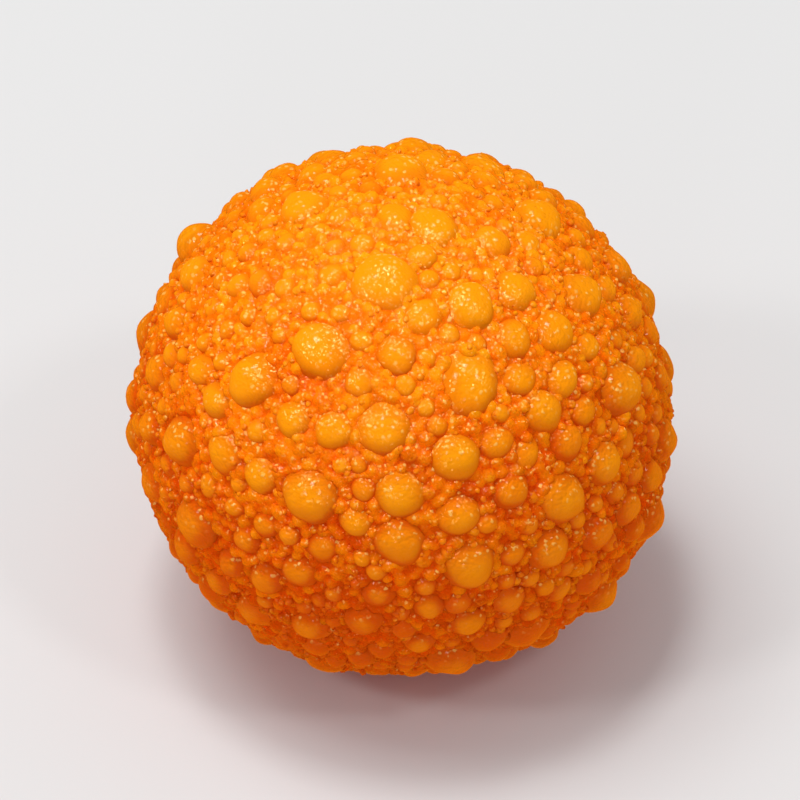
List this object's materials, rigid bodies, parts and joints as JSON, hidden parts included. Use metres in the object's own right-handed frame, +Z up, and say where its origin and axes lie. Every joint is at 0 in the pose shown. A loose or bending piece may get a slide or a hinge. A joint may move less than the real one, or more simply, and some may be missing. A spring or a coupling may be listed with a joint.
{
  "type": "motichoor ladoo",
  "caption": "Round sweet rolled from syrup-soaked gram-flour pearls and crumbs, pressed slightly flat underneath so that it stands on a plate or in a box.",
  "frame": {"origin": "on the surface that the ladoo rests on, under the middle of the ball, in the middle of its pressed foot", "axes": "+Z up, the front that is seen in the box faces -Y, +X to its right"},
  "size_m": [0.0478, 0.0474, 0.0457],
  "materials": {
    "boondi": "moist orange-yellow fried gram-flour pearls with a thin glossy coat of sugar syrup, redder in the crevices"
  },
  "bodies": {
    "root": {"ladoo": "boondi"}
  },
  "joints": []
}
